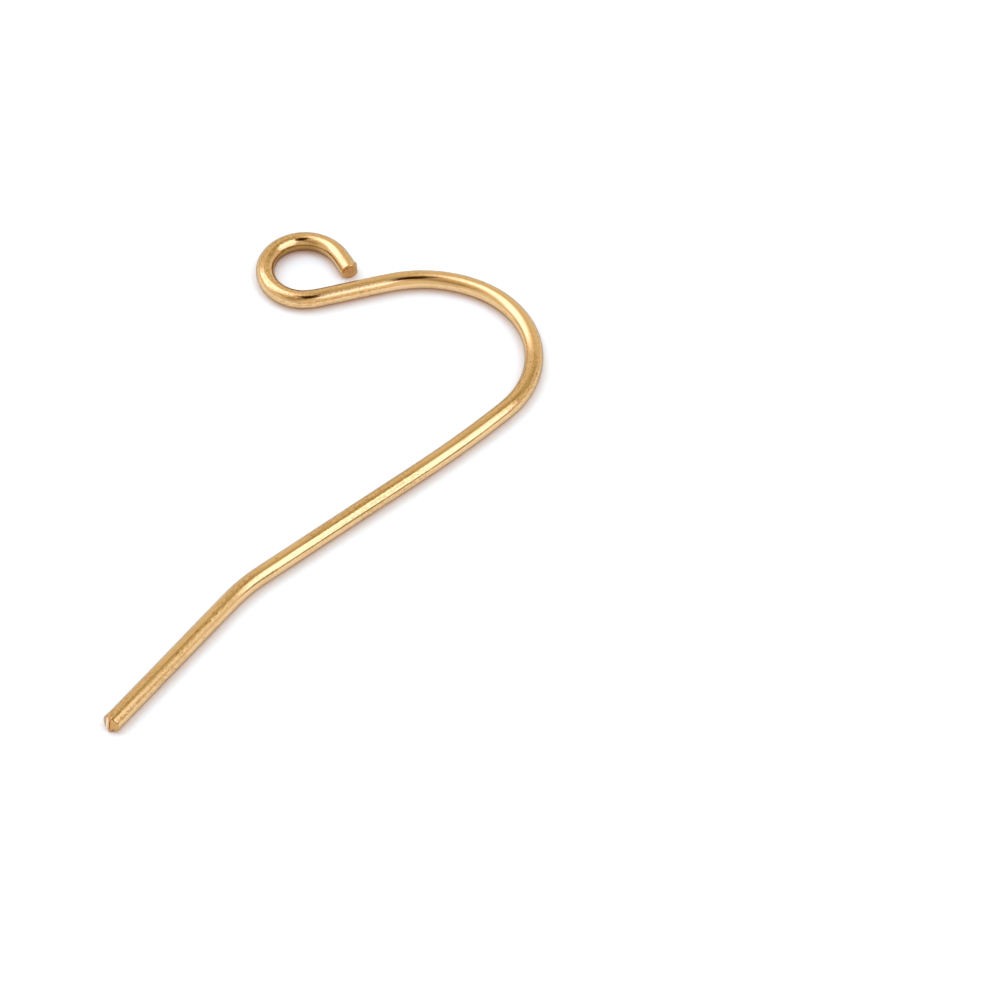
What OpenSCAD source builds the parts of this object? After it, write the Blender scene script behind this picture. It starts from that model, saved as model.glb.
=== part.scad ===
// Ear wire: one length of round wire, bent flat into an eye, an arch, a shank and a tail.
// It lies on its side: the shank runs along Y, the arch is at +Y and the tail at -Y, and the
// lowest line of the wire is at Z 0. The origin is in the middle of its footprint.

/* [Wire] */
// Diameter of the round wire
wire_d = 0.7; // [0.5:0.05:0.9]

/* [Eye] */
// Inside diameter of the eye
eye_hole_d = 2.25; // [1.6:0.05:3]
// How far the wire curls round the eye, in degrees
eye_angle = 259; // [240:1:275]
// Gap left between the cut end that closes the eye and the wire beside it
eye_gap = 0.53; // [0.1:0.01:0.7]
// Straight run from the eye to the arch
eye_link_len = 2.85; // [1.5:0.05:4]

/* [Arch] */
// Centre line radius of the wider first stretch of the arch, beside the eye
arch_lead_r = 4.65; // [3.8:0.05:6]
// Turn of that stretch, in degrees
arch_lead_angle = 43.4; // [25:0.1:60]
// Centre line radius of the crown of the arch
arch_crown_r = 3.75; // [3:0.05:4.5]
// Turn of the crown, in degrees
arch_crown_angle = 106.5; // [95:0.5:115]

/* [Shank] */
// Centre line radius of the slow bow that leads from the arch into the shank
bow_r = 46; // [20:1:80]
// Turn of that bow, in degrees
bow_angle = 5.5; // [2:0.5:8]
// Straight length of the shank
shank_len = 7.5; // [5:0.1:12]

/* [Tail] */
// Centre line radius of the soft bend between shank and tail
tail_bend_r = 6.3; // [3:0.1:12]
// Turn of that bend, in degrees
tail_bend_angle = 13.3; // [5:0.1:30]
// Straight length of the tail, up to its cut end
tail_len = 7.1; // [4:0.1:10]
// Bevel round the cut end of the tail
tail_bevel = 0.08; // [0.02:0.01:0.15]

/* [Hidden] */
$fn = 64;

wire_r = wire_d / 2;
eye_r = (eye_hole_d + wire_d) / 2;

// Past the half turn the wire leans in over the eye. Its straight tip goes on from there
// until the cut end is eye_gap away from the wire beside it.
half_turn = 180;
eye_lean = eye_angle - half_turn;
tip_reach = eye_r * (1 + cos(eye_lean)) - wire_r * (1 + abs(cos(eye_lean))) - eye_gap;
tip_least = 0.05;
tip_len = max(tip_least, tip_reach / sin(eye_lean));

// The wire from the eye's cut end to the tail. A step is [size, turn]: a straight run has its
// length and no turn, and a bend has its centre line radius and its turn, positive to the left.
steps = [
    [tip_len, 0],
    [eye_r, eye_angle],
    [eye_link_len, 0],
    [arch_lead_r, -arch_lead_angle],
    [arch_crown_r, -arch_crown_angle],
    [bow_r, -bow_angle],
    [shank_len, 0],
    [tail_bend_r, tail_bend_angle],
    [tail_len, 0],
];
tip = 0;
tail = len(steps) - 1;

// A place on the centre line is [x, y, heading]. The shank heads along -Y.
first_heading = arch_lead_angle + arch_crown_angle + bow_angle - eye_angle - 90;

function beside(place, left) = place + left * [-sin(place[2]), cos(place[2]), 0];
function ahead(place, length) = place + length * [cos(place[2]), sin(place[2]), 0];
function turned(place, angle) = place + [0, 0, angle];
function round_bend(place, left, angle) = beside(turned(beside(place, left), angle), -left);
function along(place, step, share) =
    step[1] == 0
        ? ahead(place, step[0] * share)
        : round_bend(place, sign(step[1]) * step[0], step[1] * share);

places = [
    for (i = tip, p = [0, 0, first_heading]; i <= tail; p = along(p, steps[i], 1), i = i + 1) p
];

// Both edges of the wire as seen from above, and from them the middle of the footprint
edge_parts = 90;
tail_shoulder = ahead(places[tail], tail_len - tail_bevel);
tail_end = ahead(places[tail], tail_len);
edges = [
    for (side = [-1, 1]) each [
        for (i = [tip:tail - 1], k = [0:edge_parts])
            beside(along(places[i], steps[i], k / edge_parts), side * wire_r),
        beside(tail_shoulder, side * wire_r),
        beside(tail_end, side * (wire_r - tail_bevel)),
    ]
];
xs = [for (p = edges) p[0]];
ys = [for (p = edges) p[1]];
middle = [(min(xs) + max(xs)) / 2, (min(ys) + max(ys)) / 2];

// Joins two stretches of wire that meet end to end. They are joined at a thousandth of their
// size, where the rounding of their places is too small to leave a gap in the wire.
seam_scale = 0.001;
module joined() {
    scale(1 / seam_scale)
        union() {
            scale(seam_scale)
                children(0);
            scale(seam_scale)
                children(1);
        }
}

// A straight stretch from the origin along +X.
module run(length) {
    rotate([0, 90, 0])
        cylinder(d = wire_d, h = length);
}

// A bent stretch from the origin, which sets out along +X: part of a ring, whose centre is on
// the side that the wire turns to.
module bend(radius, turn) {
    side = sign(turn);
    translate([0, side * radius, 0])
        rotate_extrude(angle = abs(turn), start = side > 0 ? -90 : 90 - abs(turn))
            translate([radius, 0])
                circle(d = wire_d);
}

// The tail, a straight stretch that ends in the bevelled cut.
module tail_run() {
    rotate([0, 90, 0])
        rotate_extrude()
            polygon([
                [0, 0],
                [wire_r, 0],
                [wire_r, tail_len - tail_bevel],
                [wire_r - tail_bevel, tail_len],
                [0, tail_len],
            ]);
}

// Moves its children from the start of a step to its end.
module after(step) {
    if (step[1] == 0) {
        translate([step[0], 0, 0])
            children();
    } else {
        pivot = [0, sign(step[1]) * step[0], 0];
        translate(pivot)
            rotate([0, 0, step[1]])
                translate(-pivot)
                    children();
    }
}

// The wire from the start of step i to the tail's cut end.
module wire_from(i) {
    if (i == tail)
        tail_run();
    else
        joined() {
            if (steps[i][1] == 0)
                run(steps[i][0]);
            else
                bend(steps[i][0], steps[i][1]);
            after(steps[i])
                wire_from(i + 1);
        }
}

module ear_wire() {
    color([0.87, 0.69, 0.42])
        translate([-middle[0], -middle[1], wire_r])
            rotate([0, 0, first_heading])
                wire_from(tip);
}

ear_wire();
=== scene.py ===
"""Looks of a gold-plated ear wire that lies on a white floor.

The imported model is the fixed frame. One fine sweep of the bent wire stands for its node, with
a slanted and burred cut at the eye, a nipped cut at the tail, draw lines, small nicks and a
plated finish. All sizes are in metres and all turns in degrees, in the model's own frame.
"""

import logging
import math
from dataclasses import asdict, dataclass, field
from enum import Enum
from typing import Any, Union

import bpy
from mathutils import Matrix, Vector


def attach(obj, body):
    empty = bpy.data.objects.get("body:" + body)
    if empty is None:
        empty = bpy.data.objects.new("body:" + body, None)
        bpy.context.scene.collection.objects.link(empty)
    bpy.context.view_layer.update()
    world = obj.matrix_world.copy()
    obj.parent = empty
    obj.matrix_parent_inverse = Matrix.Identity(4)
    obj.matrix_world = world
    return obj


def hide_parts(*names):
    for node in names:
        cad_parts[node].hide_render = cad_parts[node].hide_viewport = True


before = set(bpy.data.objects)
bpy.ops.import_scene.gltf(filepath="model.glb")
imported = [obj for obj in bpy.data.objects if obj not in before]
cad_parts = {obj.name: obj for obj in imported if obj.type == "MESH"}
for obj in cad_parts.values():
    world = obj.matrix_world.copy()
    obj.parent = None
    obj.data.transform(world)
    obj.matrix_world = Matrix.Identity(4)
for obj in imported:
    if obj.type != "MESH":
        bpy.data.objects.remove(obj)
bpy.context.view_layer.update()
MM = 0.001

log = logging.getLogger("ear_wire")

Value = Union["Signal", bpy.types.NodeSocket, float, int, tuple, str]
Colour = tuple[float, float, float, float]
Range = tuple[float, float]


def add_object(name: str, data: bpy.types.ID) -> bpy.types.Object:
    """Adds an object to the scene.

    Args:
        name: Its name.
        data: Its mesh, light or camera.

    Returns:
        The new object.
    """
    made = bpy.data.objects.new(name, data)
    bpy.context.scene.collection.objects.link(made)
    return made


class Graph:
    """A node tree that is being built, for a finish, the surroundings or a sweep."""

    def __init__(self, tree: bpy.types.NodeTree) -> None:
        """Empties the tree.

        Args:
            tree: The node tree of a material, a world or a modifier.
        """
        self.tree = tree
        tree.nodes.clear()

    def node(self, kind: str, settings: dict[str, Any] | None = None, **sockets: Value) -> bpy.types.Node:
        """Adds one node, sets it up and then fills its inputs.

        Args:
            kind: The node's type name.
            settings: The node's own settings, which are set before its inputs are filled.
            **sockets: Values or links by input name, with _ for a space, or by s and the
                input's place in the list.

        Returns:
            The new node.
        """
        made = self.tree.nodes.new(kind)
        for name, value in (settings or {}).items():
            setattr(made, name, value)
        for name, value in sockets.items():
            self.fill(self._input(made, name), value)
        return made

    def signal(
        self, kind: str, output: str | int, settings: dict[str, Any] | None = None, **sockets: Value
    ) -> "Signal":
        """Adds one node and hands back one of its outputs.

        Args:
            kind: The node's type name.
            output: The output's name or its place in the list.
            settings: The node's own settings.
            **sockets: Values or links by input name.

        Returns:
            The output, ready for sums.
        """
        made = self.node(kind, settings, **sockets)
        return Signal(self, made.outputs[output])

    def fill(self, socket: bpy.types.NodeSocket, value: Value) -> None:
        """Links or sets one input.

        Args:
            socket: The input.
            value: A signal or output to link, or a plain value.
        """
        if isinstance(value, Signal):
            value = value.socket
        if isinstance(value, bpy.types.NodeSocket):
            self.tree.links.new(value, socket)
        else:
            socket.default_value = value

    def join(self, x: Value, y: Value, z: Value) -> "Signal":
        """A vector of three numbers."""
        return self.signal("ShaderNodeCombineXYZ", 0, s0=x, s1=y, s2=z)

    def split(self, vector: Value) -> tuple["Signal", "Signal", "Signal"]:
        """The three numbers of a vector."""
        made = self.node("ShaderNodeSeparateXYZ", s0=vector)
        return Signal(self, made.outputs[0]), Signal(self, made.outputs[1]), Signal(self, made.outputs[2])

    def choose(self, share: Value, first: Value, second: Value) -> "Signal":
        """The first number where the share is 0 and the second where it is 1."""
        return self.signal("ShaderNodeMix", 0, {"data_type": "FLOAT"}, s0=share, s2=first, s3=second)

    def blend(self, share: Value, first: Value, second: Value) -> "Signal":
        """The first colour where the share is 0 and the second where it is 1."""
        return self.signal("ShaderNodeMix", 2, {"data_type": "RGBA"}, s0=share, s6=first, s7=second)

    def dot(self, first: Value, second: Value) -> "Signal":
        """The dot product of two vectors."""
        return self.signal("ShaderNodeVectorMath", "Value", {"operation": "DOT_PRODUCT"}, s0=first, s1=second)

    def noise(self, place: Value, size: Value, stretch: Value = 1.0, detail: float = 3.0) -> "Signal":
        """A noise pattern that is drawn out along the wire.

        Args:
            place: Places on the straight wire, along it first.
            size: Size of the pattern round the wire.
            stretch: How many times longer it is along the wire.
            detail: How many finer patterns are laid over it.

        Returns:
            The pattern, mostly between 0.3 and 0.7.
        """
        along, side, up = self.split(place)
        drawn_out = self.join(along / stretch, side, up)
        return self.signal("ShaderNodeTexNoise", 0, Vector=drawn_out, Scale=1.0 / size, Detail=detail)

    @staticmethod
    def _input(made: bpy.types.Node, name: str) -> bpy.types.NodeSocket:
        """Finds an input that is in use by its name or its place.

        Args:
            made: The node.
            name: The input's name, with _ for a space, or s and its place in the list.

        Returns:
            The input.
        """
        if name[0] == "s" and name[1:].isdigit():
            return made.inputs[int(name[1:])]
        words = name.replace("_", " ").lower()
        return next(s for s in made.inputs if s.enabled and s.name.lower() == words)


class Signal:
    """One output of a node, which takes part in sums as a number does."""

    def __init__(self, graph: Graph, socket: bpy.types.NodeSocket) -> None:
        """Wraps an output.

        Args:
            graph: The tree that the output is in.
            socket: The output.
        """
        self.graph = graph
        self.socket = socket

    def _math(self, operation: str, *values: Value) -> "Signal":
        """Adds a Math node on these values."""
        sockets = {f"s{place}": value for place, value in enumerate(values)}
        return self.graph.signal("ShaderNodeMath", 0, {"operation": operation}, **sockets)

    def __add__(self, other: Value) -> "Signal":
        """Sum."""
        return self._math("ADD", self, other)

    __radd__ = __add__

    def __sub__(self, other: Value) -> "Signal":
        """Difference."""
        return self._math("SUBTRACT", self, other)

    def __rsub__(self, other: Value) -> "Signal":
        """Difference from a plain number."""
        return self._math("SUBTRACT", other, self)

    def __mul__(self, other: Value) -> "Signal":
        """Product."""
        return self._math("MULTIPLY", self, other)

    __rmul__ = __mul__

    def __truediv__(self, other: Value) -> "Signal":
        """Quotient."""
        return self._math("DIVIDE", self, other)

    def __rtruediv__(self, other: Value) -> "Signal":
        """Quotient of a plain number."""
        return self._math("DIVIDE", other, self)

    def __pow__(self, other: Value) -> "Signal":
        """Power."""
        return self._math("POWER", self, other)

    def __neg__(self) -> "Signal":
        """Negative."""
        return self._math("MULTIPLY", self, -1.0)

    def __abs__(self) -> "Signal":
        """Size without its sign."""
        return self._math("ABSOLUTE", self)

    def __gt__(self, other: Value) -> "Signal":
        """One where it is greater."""
        return self._math("GREATER_THAN", self, other)

    def least(self, other: Value) -> "Signal":
        """The smaller of the two."""
        return self._math("MINIMUM", self, other)

    def most(self, other: Value) -> "Signal":
        """The larger of the two."""
        return self._math("MAXIMUM", self, other)

    def cosine(self) -> "Signal":
        """Cosine of an angle in radians."""
        return self._math("COSINE", self)

    def sine(self) -> "Signal":
        """Sine of an angle in radians."""
        return self._math("SINE", self)

    def radians(self) -> "Signal":
        """Radians of an angle in degrees."""
        return self * (math.pi / 180)

    def eased(self, start: Value, end: Value) -> "Signal":
        """Rises smoothly from 0 at start to 1 at end.

        Args:
            start: The value at which it starts to rise.
            end: The value from which it stays 1.

        Returns:
            The eased share.
        """
        settings = {"interpolation_type": "SMOOTHSTEP"}
        return self.graph.signal("ShaderNodeMapRange", 0, settings, Value=self, From_Min=start, From_Max=end)

    def near(self, middle: Value, reach: Value) -> "Signal":
        """Falls smoothly from 1 in the middle to 0 at reach on both sides.

        Args:
            middle: The value at which it is 1.
            reach: How far from there it gets to 0.

        Returns:
            The eased share.
        """
        return 1.0 - abs(self - middle).eased(0.0, reach)


class Stretch(Enum):
    """The stretches of the wire, from the eye's cut end to the tail."""

    TIP = "tip"
    EYE = "eye"
    LINK = "link"
    LEAD = "lead"
    CROWN = "crown"
    BOW = "bow"
    SHANK = "shank"
    TAIL_BEND = "tail_bend"
    TAIL = "tail"


@dataclass(frozen=True)
class Step:
    """A straight run, or a bend about a centre to the left or right."""

    stretch: Stretch
    size: float
    turn: float = 0.0

    @property
    def length(self) -> float:
        """Length along the centre line."""
        return self.size * math.radians(abs(self.turn)) if self.turn else self.size


@dataclass(frozen=True)
class Place:
    """A place on the centre line, with the way that the wire heads there."""

    x: float
    y: float
    heading: float

    @property
    def ahead(self) -> Vector:
        """The way along the wire."""
        return Vector((math.cos(math.radians(self.heading)), math.sin(math.radians(self.heading)), 0.0))

    @property
    def left(self) -> Vector:
        """The way to the left of the wire."""
        return Vector((-self.ahead.y, self.ahead.x, 0.0))

    def moved(self, by: Vector, turn: float = 0.0) -> "Place":
        """The place after a move and a turn.

        Args:
            by: The move.
            turn: The turn to the left.

        Returns:
            The new place.
        """
        return Place(self.x + by.x, self.y + by.y, self.heading + turn)

    def along(self, step: Step, length: float) -> "Place":
        """The place some way into a step that starts here.

        Args:
            step: The step.
            length: How far into the step.

        Returns:
            The place there.
        """
        if not step.turn:
            return self.moved(self.ahead * length)
        side = math.copysign(step.size, step.turn)
        turn = math.degrees(length / side)
        centre = self.moved(self.left * side, turn)
        return centre.moved(centre.left * -side)


@dataclass(frozen=True)
class WireForm:
    """The bent wire's sizes, and the centre line that they give."""

    wire_d: float = 0.7 * MM
    eye_hole_d: float = 2.25 * MM
    eye_angle: float = 259.0
    eye_gap: float = 0.53 * MM
    eye_link_len: float = 2.85 * MM
    arch_lead_r: float = 4.65 * MM
    arch_lead_angle: float = 43.4
    arch_crown_r: float = 3.75 * MM
    arch_crown_angle: float = 106.5
    bow_r: float = 46.0 * MM
    bow_angle: float = 5.5
    shank_len: float = 7.5 * MM
    tail_bend_r: float = 6.3 * MM
    tail_bend_angle: float = 13.3
    tail_len: float = 7.1 * MM
    bend_ease: float = 0.4 * MM

    @property
    def wire_r(self) -> float:
        """Radius of the wire."""
        return self.wire_d / 2

    @property
    def eye_r(self) -> float:
        """Radius of the eye's centre line."""
        return (self.eye_hole_d + self.wire_d) / 2

    @property
    def tip_len(self) -> float:
        """Length of the straight tip, which leaves the gap at the eye."""
        lean = math.radians(self.eye_angle - 180.0)
        reach = self.eye_r * (1 + math.cos(lean)) - self.wire_r * (1 + abs(math.cos(lean))) - self.eye_gap
        return reach / math.sin(lean)

    @property
    def steps(self) -> list[Step]:
        """The steps from the eye's cut end to the tail's cut end."""
        return [
            Step(Stretch.TIP, self.tip_len),
            Step(Stretch.EYE, self.eye_r, self.eye_angle),
            Step(Stretch.LINK, self.eye_link_len),
            Step(Stretch.LEAD, self.arch_lead_r, -self.arch_lead_angle),
            Step(Stretch.CROWN, self.arch_crown_r, -self.arch_crown_angle),
            Step(Stretch.BOW, self.bow_r, -self.bow_angle),
            Step(Stretch.SHANK, self.shank_len),
            Step(Stretch.TAIL_BEND, self.tail_bend_r, self.tail_bend_angle),
            Step(Stretch.TAIL, self.tail_len),
        ]

    @property
    def length(self) -> float:
        """Length of the whole centre line."""
        return sum(step.length for step in self.steps)

    def start(self) -> Place:
        """The eye's cut end, so placed that the shank runs along -Y."""
        heading = self.arch_lead_angle + self.arch_crown_angle + self.bow_angle - self.eye_angle - 90.0
        return Place(0.0, 0.0, heading)

    def place(self, along: float) -> Place:
        """The place at some length along the centre line.

        Args:
            along: Length from the eye's cut end.

        Returns:
            The place there.
        """
        here = self.start()
        for step in self.steps[:-1]:
            if along <= step.length:
                return here.along(step, along)
            along -= step.length
            here = here.along(step, step.length)
        return here.along(self.steps[-1], along)

    def centre_line(self, spacing: float) -> list[Vector]:
        """Points along the wire's middle, set about the middle of its footprint.

        Args:
            spacing: Length of wire from point to point.

        Returns:
            The points, all at the height of the floor.
        """
        count = round(self.length / spacing)
        places = [self.place(self.length * i / count) for i in range(count + 1)]
        exact = [Vector((p.x, p.y, 0)) for p in places]
        edges = [point + p.left * side * self.wire_r for point, p in zip(exact, places) for side in (-1, 1)]
        xs, ys = [edge.x for edge in edges], [edge.y for edge in edges]
        middle = Vector(((min(xs) + max(xs)) / 2, (min(ys) + max(ys)) / 2, 0))
        eased = self._eased([p.heading for p in places], exact[0], self.length / count)
        drift = sum((new - old for old, new in zip(exact, eased)), Vector()) / len(exact)
        return [point - drift - middle for point in eased]

    def _eased(self, headings: list[float], start: Vector, step: float) -> list[Vector]:
        """Draws the centre line with bends that set in gradually, as they do in springy wire.

        Args:
            headings: The way that the wire heads at each point.
            start: The first point.
            step: Length of wire from point to point.

        Returns:
            The points.
        """
        reach = round(self.bend_ease / step)
        last = len(headings) - 1
        points = [start]
        for i in range(last):
            span = min(reach, i, last - 1 - i)
            near = headings[i - span : i + span + 2]
            heading = math.radians(sum(near) / len(near))
            points.append(points[-1] + Vector((math.cos(heading), math.sin(heading), 0)) * step)
        return points


@dataclass(frozen=True)
class RodMesh:
    """How finely the wire is divided: round it, along it, over its caps and close to its ends."""

    sides: int = 96
    rings: int = 900
    cap_rings: int = 18
    end_rings: int = 8
    fine_rings: int = 30
    fine_spacing: float = 0.014 * MM


@dataclass(frozen=True)
class CutTip:
    """The eye's cut end: a little aslant, and pressed in on its outer side, behind a burr.

    The slant, the share of painted shade on the cut face, press_edge and burr_from are shares, the last two
    of the wire's radius.
    """

    round_r: float = 0.07 * MM
    slant: float = 0.12
    fade: float = 0.9 * MM
    press_turn: float = 20.0
    press_length: float = 0.24 * MM
    press_depth: float = 0.16 * MM
    press_edge: float = 0.03
    burr_from: float = 0.6
    burr_height: float = 0.03 * MM
    burr_reach: float = 0.03 * MM
    # Share of painted shade on the cut face and the pressed flat.
    wear: float = 0.55


@dataclass(frozen=True)
class NippedTail:
    """The tail's nipped end: two facets with a ridge and a cleft between them, a torn lower edge.

    Values without a unit are shares: face_from of the rounded edge, torn_from of the wire's
    radius, torn_length of the scallops' reach and torn_inwards of their depth.
    """

    round_r: float = 0.05 * MM
    face_from: float = 0.3
    fade: float = 0.5 * MM
    lean: float = 0.12
    spread: float = 0.08
    ridge_side: float = -0.1 * MM
    left_slope: float = 0.45
    right_slope: float = 0.1
    ridge_height: float = 0.06 * MM
    ridge_reach: float = 0.07 * MM
    cleft_side: float = -0.012 * MM
    cleft_depth: float = 0.05 * MM
    cleft_reach: float = 0.022 * MM
    wrap_side: float = 0.04 * MM
    wrap_slope: float = 0.2
    scallop_depth: float = 0.12 * MM
    scallop_reach: float = 0.09 * MM
    scallop_side_1: float = -0.12 * MM
    scallop_side_2: float = 0.13 * MM
    torn_from: float = 0.4
    torn_length: float = 2.0
    torn_inwards: float = 0.6
    # Share of painted shade on the cut face; the cleft takes it in full.
    wear: float = 0.5
    facet_bareness: float = 0.15


@dataclass(frozen=True)
class ShearMarks:
    """The uneven surface of both cut faces."""

    size: float = 0.12 * MM
    depth: float = 0.06 * MM


@dataclass(frozen=True)
class DrawLines:
    """Shallow lengthwise lines that the drawing plate left in the wire."""

    width: float = 0.1 * MM
    stretch: float = 60.0
    depth: float = 0.0045 * MM


@dataclass(frozen=True)
class Dents:
    """Small dents from handling, and a row of pits that a tool's jaws left along the tail.

    A nick_bias under 1 draws the nicks towards the tail. The share flat of a dent is as deep as
    it gets.
    """

    nick_count: int = 24
    nick_bias: float = 0.7
    pit_count: int = 7
    pits_from: float = 1.2 * MM
    pits_to: float = 6.4 * MM
    pit_turn: float = 79.0
    pit_spread: float = 16.0
    size: float = 0.036 * MM
    flat: float = 0.15
    stretch: float = 2.5
    depth: float = 0.005 * MM
    seed: int = 12


@dataclass(frozen=True)
class PlatedGold:
    """Thin yellow gold over drawn steel wire: polished, lined, worn in spots, with painted shade and a
    painted highlight.

    Over each range of a noise pattern its share rises from 0 to 1. Painted shade darkens the dents, the cut
    faces and the eye's inner side, the last from one length along the wire to another, below one height and
    fully below the next.
    """

    name: str = "plated_gold"
    colour: Colour = (0.85, 0.64, 0.40, 1.0)
    worn_colour: Colour = (0.63, 0.43, 0.22, 1.0)
    # Painted shade in the dents and pits.
    dented_colour: Colour = (0.58, 0.38, 0.18, 1.0)
    # Painted shade on the cut faces and the pressed flat, deepest in the cleft.
    cut_colour: Colour = (0.60, 0.34, 0.12, 1.0)
    # Steel on the tail's left facet; along the ridge it is a painted highlight.
    steel_colour: Colour = (0.95, 0.87, 0.76, 1.0)
    edge_tint: Colour = (0.60, 0.61, 0.63, 1.0)
    roughness: float = 0.09
    line_roughness: float = 0.12
    line_width: float = 0.05 * MM
    line_stretch: float = 60.0
    line_depth: float = 0.0016 * MM
    grain_size: float = 0.045 * MM
    grain_stretch: float = 2.5
    grain_depth: float = 0.0018 * MM
    wear_size: float = 0.9 * MM
    wear_range: Range = (0.3, 0.65)
    grain_range: Range = (0.4, 0.6)
    rough_range: Range = (0.45, 0.8)
    # Painted shade on the eye's inner side, and where along and round the wire it lies.
    rubbed_colour: Colour = (0.47, 0.31, 0.13, 1.0)
    rubbed_from: float = 2.2 * MM
    rubbed_to: float = 3.8 * MM
    rubbed_fade: float = 1.6 * MM
    rubbed_below: float = 0.3 * MM
    rubbed_fully: float = 0.02 * MM

    def make(self) -> bpy.types.Material:
        """Makes the material.

        Returns:
            The gold finish.
        """
        material = bpy.data.materials.new(self.name)
        material.use_nodes = True
        graph = Graph(material.node_tree)
        drawn = graph.signal("ShaderNodeAttribute", "Vector", {"attribute_name": "drawn"})
        lines = graph.noise(drawn, self.line_width, self.line_stretch)
        grain = graph.noise(drawn, self.grain_size, self.grain_stretch)
        wear = graph.noise(drawn, self.wear_size, self.grain_stretch)
        worn = wear.eased(*self.wear_range) * lines.eased(*self.wear_range) * grain.eased(*self.grain_range)
        colour = graph.blend(worn, self.colour, self.worn_colour)
        # Painted shade on the eye's inner side.
        colour = graph.blend(self._rubbed(graph, drawn), colour, self.rubbed_colour)
        # Painted shade in the dents and on the cut faces; steel on the tail's facet and a painted highlight
        # on its ridge.
        marks = {"dented": self.dented_colour, "cut": self.cut_colour, "bare": self.steel_colour}
        for name, tint in marks.items():
            mark = graph.signal("ShaderNodeAttribute", "Fac", {"attribute_name": name})
            colour = graph.blend(mark, colour, tint)
        relief = lines * self.line_depth + grain * self.grain_depth
        shader = graph.node(
            "ShaderNodeBsdfPrincipled",
            Base_Color=colour,
            Metallic=1.0,
            Specular_Tint=self.edge_tint,
            Roughness=lines.eased(*self.rough_range) * self.line_roughness + self.roughness,
            Normal=graph.signal("ShaderNodeBump", 0, Strength=1.0, Distance=1.0, Height=relief),
        )
        graph.node("ShaderNodeOutputMaterial", s0=shader.outputs[0])
        return material

    def _rubbed(self, graph: Graph, drawn: Signal) -> Signal:
        """Marks the inner side of the eye, which is darkened with painted shade.

        Args:
            graph: The material's tree.
            drawn: Places on the straight wire.

        Returns:
            1 where the painted shade is full.
        """
        along, side, up = graph.split(drawn)
        started = along.eased(self.rubbed_from - self.rubbed_fade, self.rubbed_from)
        ended = along.eased(self.rubbed_to, self.rubbed_to + self.rubbed_fade)
        inside = side.eased(0.0, self.rubbed_below)
        low = 1.0 - up.eased(self.rubbed_fully, self.rubbed_below)
        return started * (1.0 - ended) * inside * low


@dataclass(frozen=True)
class WhiteFloor:
    """Smooth white studio floor, with the faint glow that scattered light gives its shadows."""

    name: str = "white_floor"
    colour: Colour = (0.61, 0.76, 0.79, 1.0)
    glow: Colour = (0.26, 0.12, 0.10, 1.0)
    roughness: float = 0.4
    gloss: float = 0.2

    def make(self) -> bpy.types.Material:
        """Makes the material.

        Returns:
            The floor's finish.
        """
        material = bpy.data.materials.new(self.name)
        material.use_nodes = True
        graph = Graph(material.node_tree)
        shader = graph.node(
            "ShaderNodeBsdfPrincipled",
            Base_Color=self.colour,
            Roughness=self.roughness,
            Specular_IOR_Level=self.gloss,
            Emission_Color=self.glow,
            Emission_Strength=1.0,
        )
        graph.node("ShaderNodeOutputMaterial", s0=shader.outputs[0])
        return material


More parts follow.
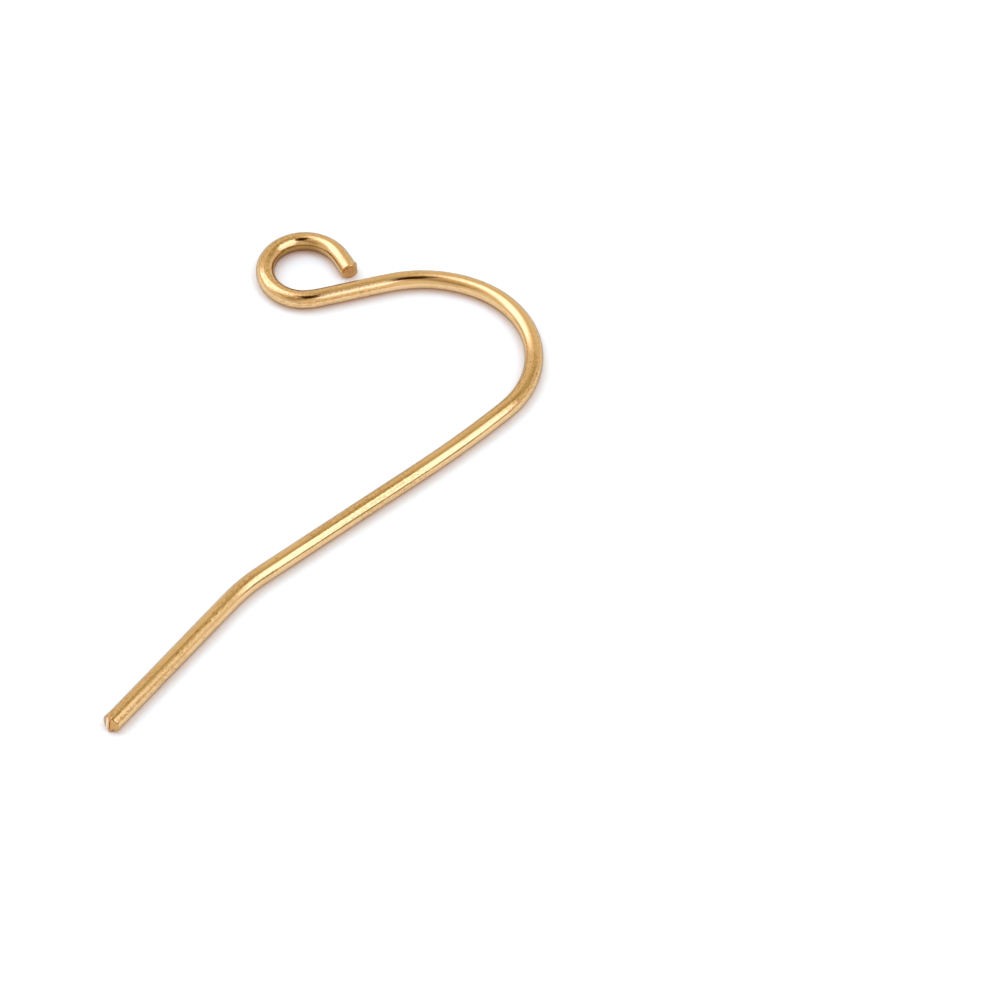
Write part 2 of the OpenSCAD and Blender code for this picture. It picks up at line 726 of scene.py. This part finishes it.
class Sweep:
    """A node tree that draws a straight wire, dresses its ends and bends it along a path."""

    KINDS = {float: "NodeSocketFloat", int: "NodeSocketInt", bpy.types.Material: "NodeSocketMaterial"}

    def __init__(self, values: dict[str, Any]) -> None:
        """Builds the tree, with a named input for each value.

        Args:
            values: Every size, count and finish, by its input's name.
        """
        self.values = values
        self.tree = bpy.data.node_groups.new("wire_sweep", "GeometryNodeTree")
        self.graph = Graph(self.tree)
        self._add_socket("Path", "INPUT", "NodeSocketGeometry")
        self.sockets: dict[str, str] = {}
        for name, value in values.items():
            self.sockets[name] = self._add_socket(name, "INPUT", self.KINDS[type(value)])
        self._add_socket("Wire", "OUTPUT", "NodeSocketGeometry")
        self.inputs = self.graph.node("NodeGroupInput")
        self.radius = self._given("wire.radius")
        self._build()

    def run(self, path: bpy.types.Object) -> bpy.types.Mesh:
        """Sweeps the wire along a path.

        Args:
            path: The path's object, which is removed afterwards.

        Returns:
            The wire's mesh.
        """
        modifier = path.modifiers.new("sweep", "NODES")
        modifier.node_group = self.tree
        for name, value in self.values.items():
            modifier[self.sockets[name]] = value
        bpy.context.view_layer.update()
        swept = path.evaluated_get(bpy.context.evaluated_depsgraph_get())
        made = bpy.data.meshes.new_from_object(swept)
        bpy.data.objects.remove(path)
        return made

    def _add_socket(self, name: str, way: str, kind: str) -> str:
        """Adds a named input or output to the tree.

        Args:
            name: Its name.
            way: INPUT or OUTPUT.
            kind: Its socket type.

        Returns:
            Its identifier.
        """
        return self.tree.interface.new_socket(name, in_out=way, socket_type=kind).identifier

    def _given(self, name: str) -> Signal:
        """One of the tree's inputs."""
        return Signal(self.graph, self.inputs.outputs[name])

    def _build(self) -> None:
        """Lays out the nodes, from the straight rod to the bent and dressed wire."""
        graph = self.graph
        path = graph.signal("GeometryNodeMeshToCurve", 0, Mesh=self._given("Path"))
        length = graph.signal("GeometryNodeCurveLength", 0, Curve=path)
        rod = graph.signal(
            "GeometryNodeMeshCylinder",
            "Mesh",
            {"fill_type": "TRIANGLE_FAN"},
            Vertices=self._given("mesh.sides"),
            Side_Segments=self._given("mesh.rings"),
            Fill_Segments=self._given("mesh.cap_rings"),
            Radius=self.radius,
            Depth=length,
        )
        straight = self._kept(rod, "FLOAT_VECTOR", "drawn", self._straight_wire(length))
        vector = {"data_type": "FLOAT_VECTOR"}
        drawn = graph.signal("GeometryNodeInputNamedAttribute", 0, vector, Name="drawn")
        dented = self._dented(drawn, length)
        # Marks the dents, which the finish darkens with painted shade.
        marked = self._kept(straight, "FLOAT", "dented", dented)
        # Painted shade on the cut faces, the pressed flat and the cleft.
        marked = self._kept(marked, "FLOAT", "cut", self._cut(drawn, length))
        # Steel on the tail's left facet, and a painted highlight along its ridge.
        marked = self._kept(marked, "FLOAT", "bare", self._bare(drawn, length))
        shaped = self._tail_cut(self._tip_cut(self._worked(drawn, dented)), length)
        places = self._bent(shaped, path, length)
        bent = graph.signal("GeometryNodeSetPosition", 0, Geometry=marked, Position=places)
        smooth = graph.signal("GeometryNodeSetShadeSmooth", 0, Geometry=bent)
        real = graph.signal("GeometryNodeRealizeInstances", 0, Geometry=smooth)
        finish = self._given("wire.finish")
        dressed = graph.signal("GeometryNodeSetMaterial", 0, Geometry=real, Material=finish)
        graph.node("NodeGroupOutput", s0=dressed)

    def _kept(self, geometry: Signal, kind: str, name: str, value: Signal) -> Signal:
        """Keeps a value at each point for the later steps and for the finish.

        Args:
            geometry: The wire.
            kind: The value's type.
            name: The name to keep it under.
            value: The value.

        Returns:
            The wire with the value.
        """
        settings = {"data_type": kind, "domain": "POINT"}
        return self.graph.signal(
            "GeometryNodeStoreNamedAttribute", 0, settings, Geometry=geometry, Name=name, Value=value
        )

    def _straight_wire(self, length: Signal) -> Signal:
        """The straight wire's points, with its two ends rounded.

        Args:
            length: Length of the wire.

        Returns:
            Each point's place along the wire, to its left and above its middle.
        """
        graph = self.graph
        side, up, lengthwise = graph.split(graph.signal("GeometryNodeInputPosition", 0))
        share = lengthwise / length + 0.5
        names = ("rings", "end_rings", "fine_rings")
        rings, end_rings, fine_rings = (self._given(f"mesh.{name}") for name in names)
        tip_round, tail_round = self._given("tip.round_r"), self._given("tail.round_r")
        fine_length = fine_rings * self._given("mesh.fine_spacing")
        plain_length = length - tip_round - tail_round - fine_length * 2.0
        spacing = plain_length / (rings - (end_rings + fine_rings) * 2.0)
        tip_depth, tip_girth = self._end(share * rings, end_rings, tip_round, spacing)
        tail_depth, tail_girth = self._end((1.0 - share) * rings, end_rings, tail_round, spacing)
        near_tail = share > 0.5
        along = graph.choose(near_tail, tip_depth, length - tail_depth)
        girth = graph.choose(near_tail, tip_girth, tail_girth)
        return graph.join(along, side * girth, up * girth)

    def _end(
        self, ring: Signal, end_rings: Signal, round_r: Signal, spacing: Signal
    ) -> tuple[Signal, Signal]:
        """Places a ring of points by its count from a cut end.

        Args:
            ring: How many rings it lies from the end.
            end_rings: How many rings round the end's edge.
            round_r: Radius of that edge.
            spacing: Distance from ring to ring on the rest of the wire.

        Returns:
            How deep the ring lies from the end, and its share of the wire's radius.
        """
        turn = (ring / end_rings).least(1.0) * (math.pi / 2)
        past_edge = (ring - end_rings).most(0.0)
        fine = past_edge.least(self._given("mesh.fine_rings"))
        edge_depth = round_r * (1.0 - turn.cosine())
        depth = edge_depth + fine * self._given("mesh.fine_spacing") + (past_edge - fine) * spacing
        girth = 1.0 - round_r * (1.0 - turn.sine()) / self.radius
        return depth, girth

    def _dented(self, drawn: Signal, length: Signal) -> Signal:
        """Scatters nicks over the wire and pits along the tail.

        Args:
            drawn: Places on the straight wire.
            length: Length of the wire.

        Returns:
            1 in the middle of a dent and 0 away from them.
        """
        nicks = self._share(0) ** self._given("dents.nick_bias") * length
        turn = self._share(1) * (2 * math.pi)
        pits_from, pits_to = self._given("dents.pits_from"), self._given("dents.pits_to")
        from_end = pits_from + self._share(2) * (pits_to - pits_from)
        spread = (self._share(3) * 2.0 - 1.0) * self._given("dents.pit_spread")
        pit_turn = (self._given("dents.pit_turn") + spread).radians()
        spots = self.graph.node("GeometryNodeJoinGeometry")
        self._scatter(spots, self._given("dents.nick_count"), nicks, turn)
        self._scatter(spots, self._given("dents.pit_count"), length - from_end, pit_turn)
        along, side, up = self.graph.split(drawn)
        here = self.graph.join(along / self._given("dents.stretch"), side, up)
        settings = {"target_element": "POINTS"}
        gap = self.graph.signal(
            "GeometryNodeProximity", "Distance", settings, Geometry=spots.outputs[0], Sample_Position=here
        )
        size = self._given("dents.size")
        return 1.0 - gap.eased(size * self._given("dents.flat"), size)

    def _share(self, place: int) -> Signal:
        """A random number from 0 to 1 for each spot, another one for each place in the list."""
        return self.graph.signal("FunctionNodeRandomValue", 1, Seed=self._given("dents.seed") + float(place))

    def _scatter(self, spots: bpy.types.Node, count: Signal, along: Signal, turn: Signal) -> None:
        """Adds spots on the wire's surface, drawn together along the wire by the dents' stretch.

        Args:
            spots: The node that gathers them.
            count: How many.
            along: Where each lies along the wire.
            turn: Where each lies round the wire, in radians from its left side upwards.
        """
        place = along / self._given("dents.stretch")
        place = self.graph.join(place, turn.cosine() * self.radius, turn.sine() * self.radius)
        points = self.graph.signal("GeometryNodePoints", 0, Count=count, Position=place)
        self.graph.fill(spots.inputs[0], points)

    def _cut(self, drawn: Signal, length: Signal) -> Signal:
        """Marks the cut faces and the pressed flat for painted shade, and most of all the cleft.

        Args:
            drawn: Places on the straight wire.
            length: Length of the wire.

        Returns:
            How deep the painted shade is, from 0 to 1.
        """
        along, side, up = self.graph.split(drawn)
        facing, flat = self._pressed(along, side, up)
        pressed = facing.eased(flat, flat + self.radius * self._given("tip.press_edge"))
        tip = self._tip_face(along).most(pressed) * self._given("tip.wear")
        tail = self._tail_face(along, length) * self._cleft(side).most(self._given("tail.wear"))
        return tip + tail

    def _bare(self, drawn: Signal, length: Signal) -> Signal:
        """Marks the left facet of the tail's cut as steel, and its ridge as steel that stands for a painted
        highlight.

        Args:
            drawn: Places on the straight wire.
            length: Length of the wire.

        Returns:
            1 along the ridge's painted highlight, and the facet's share of steel on the left facet.
        """
        along, side, _ = self.graph.split(drawn)
        ridge_side, ridge_reach = self._given("tail.ridge_side"), self._given("tail.ridge_reach")
        ridge = side.near(ridge_side, ridge_reach)
        facet = (1.0 - side.eased(ridge_side - ridge_reach, ridge_side)) * self._given("tail.facet_bareness")
        return self._tail_face(along, length) * ridge.most(facet)

    def _tip_face(self, along: Signal) -> Signal:
        """1 on the eye's cut face, eased over its edge."""
        return 1.0 - along.eased(0.0, self._given("tip.round_r"))

    def _tail_face(self, along: Signal, length: Signal) -> Signal:
        """1 on the tail's cut face, eased over its edge."""
        round_r = self._given("tail.round_r")
        return along.eased(length - round_r, length - round_r * self._given("tail.face_from"))

    def _cleft(self, side: Signal) -> Signal:
        """1 along the middle of the tail's cleft, eased to its sides."""
        return side.near(self._given("tail.cleft_side"), self._given("tail.cleft_reach"))

    def _sheared(self, side: Signal, up: Signal) -> Signal:
        """How far the cut faces stand out or in at a place on them.

        Args:
            side: Place to the left of the wire's middle.
            up: Place above it.

        Returns:
            The offset along the wire.
        """
        noise = self.graph.noise(self.graph.join(side, up, 0.0), self._given("shear.size"), detail=2.0)
        return (noise - 0.5) * self._given("shear.depth")

    def _pressed(self, along: Signal, side: Signal, up: Signal) -> tuple[Signal, Signal]:
        """The flat that the cutter's jaw pressed into the outer side of the eye's end.

        Args:
            along: Place along the wire.
            side: Place to its left.
            up: Place above its middle.

        Returns:
            How far the place lies towards the jaw, and where the flat lies that way.
        """
        turn = self._given("tip.press_turn").radians()
        depth = (1.0 - along / self._given("tip.press_length")).most(0.0) * self._given("tip.press_depth")
        return up * turn.sine() - side * turn.cosine(), self.radius - depth

    def _worked(self, straight: Signal, dented: Signal) -> Signal:
        """Works the draw lines and the dents into the straight wire.

        Args:
            straight: The points.
            dented: How far each point is into a dent.

        Returns:
            The points, moved a little towards the wire's middle.
        """
        graph = self.graph
        along, side, up = graph.split(straight)
        lines = graph.noise(straight, self._given("lines.width"), self._given("lines.stretch"), detail=1.0)
        inwards = (1.0 - lines) * self._given("lines.depth") + dented * self._given("dents.depth")
        push = 1.0 - inwards / self.radius
        return graph.join(along, side * push, up * push)

    def _tip_cut(self, straight: Signal) -> Signal:
        """Slants the eye's cut end, presses its outer side flat and raises the burr there.

        Args:
            straight: The points.

        Returns:
            The points, with the end shaped.
        """
        graph = self.graph
        along, side, up = graph.split(straight)
        turn = self._given("tip.press_turn").radians()
        facing, flat = self._pressed(along, side, up)
        standing = facing.eased(self.radius * self._given("tip.burr_from"), self.radius)
        burr = along.near(self._given("tip.press_length"), self._given("tip.burr_reach")) * standing
        shift = burr * self._given("tip.burr_height") - (facing - flat).most(0.0)
        fade = 1.0 - along.eased(0.0, self._given("tip.fade"))
        slanted = fade * self._given("tip.slant") * (self.radius - side)
        moved = self._sheared(side, up) * self._tip_face(along) - slanted
        return graph.join(along + moved, side - turn.cosine() * shift, up + turn.sine() * shift)

    def _tail_cut(self, straight: Signal, length: Signal) -> Signal:
        """Nips the tail's cut end: two facets, the ridge and cleft between them, the torn lower edge.

        Args:
            straight: The points.
            length: Length of the wire.

        Returns:
            The points, with the end shaped.
        """
        graph = self.graph
        along, side, up = graph.split(straight)
        fade = 1.0 - (length - along).eased(0.0, self._given("tail.fade"))
        off_ridge = side - self._given("tail.ridge_side")
        left = (-off_ridge).most(0.0) * self._given("tail.left_slope")
        right = off_ridge.most(0.0) * self._given("tail.right_slope")
        wrap = (side - self._given("tail.wrap_side")).most(0.0) * self._given("tail.wrap_slope")
        lean = (self.radius - up) * self._given("tail.lean")
        ridge = off_ridge.near(0.0, self._given("tail.ridge_reach")) * self._given("tail.ridge_height")
        cleft = self._cleft(side) * self._given("tail.cleft_depth")
        torn = self._torn(side, up)
        torn_length = self._given("tail.scallop_reach") * self._given("tail.torn_length")
        near_end = 1.0 - (length - along).eased(0.0, torn_length)
        push = 1.0 - torn * near_end * self._given("tail.torn_inwards") / self.radius
        moved = (lean - (left + right + wrap)) * fade + (ridge - cleft - torn) * near_end
        moved = moved + self._sheared(side, up) * self._tail_face(along, length)
        spread = (-side).most(0.0) * self._given("tail.spread") * fade
        return graph.join(along + moved, side * push - spread, up * push)

    def _torn(self, side: Signal, up: Signal) -> Signal:
        """How deep the tail's lower edge is torn at a place on the cut face.

        Args:
            side: Place to the left of the wire's middle.
            up: Place above it.

        Returns:
            The depth of the two scallops there.
        """
        reach = self._given("tail.scallop_reach")
        first, second = (side.near(self._given(f"tail.scallop_side_{place}"), reach) for place in (1, 2))
        low = (-up).eased(self.radius * self._given("tail.torn_from"), self.radius)
        return first.most(second) * low * self._given("tail.scallop_depth")

    def _bent(self, straight: Signal, path: Signal, length: Signal) -> Signal:
        """Carries the straight wire's points onto the path.

        Args:
            straight: The points.
            path: The path curve.
            length: Length of the path.

        Returns:
            The points in the model's frame.
        """
        graph = self.graph
        along, side, up = graph.split(straight)
        sample = graph.node("GeometryNodeSampleCurve", {"mode": "LENGTH"}, Curves=path, Length=along)
        x, y, _ = graph.split(Signal(graph, sample.outputs["Position"]))
        ahead_x, ahead_y, _ = graph.split(Signal(graph, sample.outputs["Tangent"]))
        past = along - length.least(along.most(0.0))
        x, y = x + ahead_x * past, y + ahead_y * past
        return graph.join(x - side * ahead_y, y + side * ahead_x, up + self.radius)


@dataclass
class BentWire:
    """The whole finding: one length of wire, bent flat."""

    form: WireForm = field(default_factory=WireForm)
    mesh: RodMesh = RodMesh()
    tip: CutTip = CutTip()
    tail: NippedTail = NippedTail()
    shear: ShearMarks = ShearMarks()
    lines: DrawLines = DrawLines()
    dents: Dents = Dents()
    gold: PlatedGold = PlatedGold()
    path_step: float = 0.02 * MM

    def _values(self) -> dict[str, Any]:
        """The sweep's inputs by name.

        Returns:
            Every size, count and finish that the sweep takes.
        """
        parts = {
            "mesh": self.mesh,
            "tip": self.tip,
            "tail": self.tail,
            "shear": self.shear,
            "lines": self.lines,
            "dents": self.dents,
        }
        values = {"wire.radius": self.form.wire_r, "wire.finish": self.gold.make()}
        for part, sizes in parts.items():
            values |= {f"{part}.{name}": value for name, value in asdict(sizes).items()}
        return values

    def build(self) -> bpy.types.Object:
        """Sweeps the wire along its centre line and dresses it.

        Returns:
            The finished piece.
        """
        points = self.form.centre_line(self.path_step)
        mesh = bpy.data.meshes.new("wire_path")
        mesh.from_pydata(points, [(i, i + 1) for i in range(len(points) - 1)], [])
        made = Sweep(self._values()).run(add_object("wire_path", mesh))
        made.name = "bent_wire"
        wire = add_object("bent_wire", made)
        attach(wire, "root")
        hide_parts("ear_wire")
        for step in self.form.steps:
            log.info("%s: %.2f mm", step.stretch.value, step.length / MM)
        log.info("bent_wire: %d points, %d faces", len(made.vertices), len(made.polygons))
        return wire


@dataclass(frozen=True)
class Direction:
    """A direction from the wire, seen from the camera: azimuth 0 lies straight beyond it."""

    azimuth: float
    elevation: float

    def vector(self, beyond: float) -> Vector:
        """The direction in the model's frame.

        Args:
            beyond: The heading that lies straight beyond the wire, in the model's frame.

        Returns:
            A vector of length 1.
        """
        heading = math.radians(beyond - self.azimuth)
        rise = math.radians(self.elevation)
        level = math.cos(rise)
        return Vector((math.cos(heading) * level, math.sin(heading) * level, math.sin(rise)))


@dataclass(frozen=True)
class Panel:
    """A soft-edged rectangle in the surroundings: a softbox, or a dim gap between them.

    Its half sizes and its edge are shares of its distance. A direction that lies less than front
    towards it is off it.
    """

    towards: Direction
    roll: float
    half_width: float
    half_height: float
    edge: float
    colour: Colour
    front: float = 0.02

    def cover(self, graph: Graph, ray: Signal, beyond: float) -> Signal:
        """How much of each direction the panel covers.

        Args:
            graph: The world's tree.
            ray: The direction that is looked at.
            beyond: The heading that lies straight beyond the wire.

        Returns:
            1 on the panel, 0 off it and between the two along its edge.
        """
        axis = self.towards.vector(beyond)
        level = Direction(self.towards.azimuth + 90.0, 0.0).vector(beyond)
        rise = level.cross(axis)
        turn = math.radians(self.roll)
        across = level * math.cos(turn) + rise * math.sin(turn)
        upwards = rise * math.cos(turn) - level * math.sin(turn)
        ahead = graph.dot(ray, tuple(axis))
        depth = ahead.most(self.front)
        wide = abs(graph.dot(ray, tuple(across)) / depth)
        high = abs(graph.dot(ray, tuple(upwards)) / depth)
        covered = self._inside(wide, self.half_width) * self._inside(high, self.half_height)
        return covered * (ahead > self.front)

    def _inside(self, offset: Signal, half: float) -> Signal:
        """1 where the offset is less than half the size, eased over the edge."""
        return 1.0 - offset.eased(half - self.edge / 2, half + self.edge / 2)


@dataclass(frozen=True)
class TopLight:
    """A broad soft light overhead that brightens the floor and doesn't show in the gold."""

    size: float = 2.0
    height: float = 1.5
    power: float = 11.0
    colour: tuple[float, float, float] = (0.90, 0.97, 1.15)

    def hang(self) -> None:
        """Hangs the light over the wire."""
        data = bpy.data.lights.new("top_light", "AREA")
        data.shape = "SQUARE"
        data.size = self.size
        data.energy = self.power
        data.color = self.colour
        light = add_object("top_light", data)
        light.location = (0.0, 0.0, self.height)
        light.visible_glossy = False


@dataclass
class Studio:
    """White floor, soft surroundings and the camera.

    The camera looks along the heading beyond, down by its elevation, from its distance to the
    target. Lens and sensor are in millimetres. The gamma lowers or raises the picture's contrast.
    """

    beyond: float = 139.23
    target: Vector = field(default_factory=lambda: Vector((7.968 * MM, 5.285 * MM, 0.35 * MM)))
    elevation: float = 50.0
    distance: float = 237.0 * MM
    lens: float = 234.0
    sensor: float = 36.0
    clip: Range = (0.01, 20.0)
    gamma: float = 0.7
    floor_size: float = 4.0
    floor: WhiteFloor = WhiteFloor()
    top_light: TopLight = TopLight()
    low_wall: Colour = (0.94, 0.92, 0.86, 1.0)
    ceiling: Colour = (0.9, 0.82, 0.62, 1.0)
    left_softbox: Panel = Panel(
        Direction(-65, 50),
        roll=-20,
        half_width=0.4,
        half_height=0.6,
        edge=0.4,
        colour=(1.7, 1.68, 1.9, 1.0),
    )
    right_softbox: Panel = Panel(
        Direction(122, 48),
        roll=7,
        half_width=0.45,
        half_height=0.6,
        edge=0.25,
        colour=(1.6, 1.65, 1.85, 1.0),
    )
    gap_beyond: Panel = Panel(
        Direction(45, 55),
        roll=40,
        half_width=0.25,
        half_height=0.5,
        edge=0.4,
        colour=(0.7, 0.64, 0.45, 1.0),
    )
    gap_right: Panel = Panel(
        Direction(125, 9),
        roll=0,
        half_width=0.45,
        half_height=0.1,
        edge=0.08,
        colour=(0.45, 0.48, 0.36, 1.0),
    )
    gap_camera: Panel = Panel(
        Direction(-160, 45),
        roll=40,
        half_width=0.25,
        half_height=0.5,
        edge=0.5,
        colour=(0.6, 0.53, 0.4, 1.0),
    )
    slit_above: Panel = Panel(
        Direction(165, 75),
        roll=0,
        half_width=0.16,
        half_height=0.3,
        edge=0.15,
        colour=(0.12, 0.06, 0.01, 1.0),
    )

    def build(self) -> None:
        """Sets the floor, the surroundings and the camera."""
        self._lay_floor()
        self._light()
        self._place_camera()

    def _lay_floor(self) -> None:
        """Lays the floor."""
        half = self.floor_size / 2
        mesh = bpy.data.meshes.new("floor")
        corners = [(-half, -half, 0), (half, -half, 0), (half, half, 0), (-half, half, 0)]
        mesh.from_pydata(corners, [], [(0, 1, 2, 3)])
        mesh.materials.append(self.floor.make())
        floor = add_object("floor", mesh)
        log.info("floor: %.1f m", self.floor_size)

    def _light(self) -> None:
        """Lights the scene from soft walls, two softboxes and the broad light overhead."""
        world = bpy.data.worlds.new("soft_room")
        bpy.context.scene.world = world
        world.use_nodes = True
        graph = Graph(world.node_tree)
        ray = graph.signal("ShaderNodeTexCoord", "Generated")
        _, _, height = graph.split(ray)
        room = graph.blend(height.eased(0.0, 1.0), self.low_wall, self.ceiling)
        panels = (
            self.gap_beyond,
            self.left_softbox,
            self.right_softbox,
            self.gap_right,
            self.gap_camera,
            self.slit_above,
        )
        for panel in panels:
            room = graph.blend(panel.cover(graph, ray, self.beyond), room, panel.colour)
        background = graph.node("ShaderNodeBackground", Color=room, Strength=1.0)
        graph.node("ShaderNodeOutputWorld", s0=background.outputs[0])
        self.top_light.hang()
        log.info("soft room: %d panels, 1 light overhead", len(panels))

    def _place_camera(self) -> None:
        """Places the camera at the photograph's angle."""
        data = bpy.data.cameras.new("camera")
        data.lens = self.lens
        data.sensor_width = self.sensor
        data.clip_start, data.clip_end = self.clip
        camera = add_object("camera", data)
        back = Direction(180.0, self.elevation).vector(self.beyond)
        camera.location = self.target + back * self.distance
        camera.rotation_mode = "QUATERNION"
        camera.rotation_quaternion = (-back).to_track_quat("-Z", "Y")
        bpy.context.scene.camera = camera
        view = bpy.context.scene.view_settings
        view.view_transform = "Standard"
        view.gamma = self.gamma
        log.info("camera: %.0f mm lens", self.lens)


def main() -> None:
    """Builds the wire and its studio."""
    logging.basicConfig(level=logging.INFO, format="%(name)s: %(message)s")
    BentWire().build()
    Studio().build()


if __name__ == "__main__":
    main()
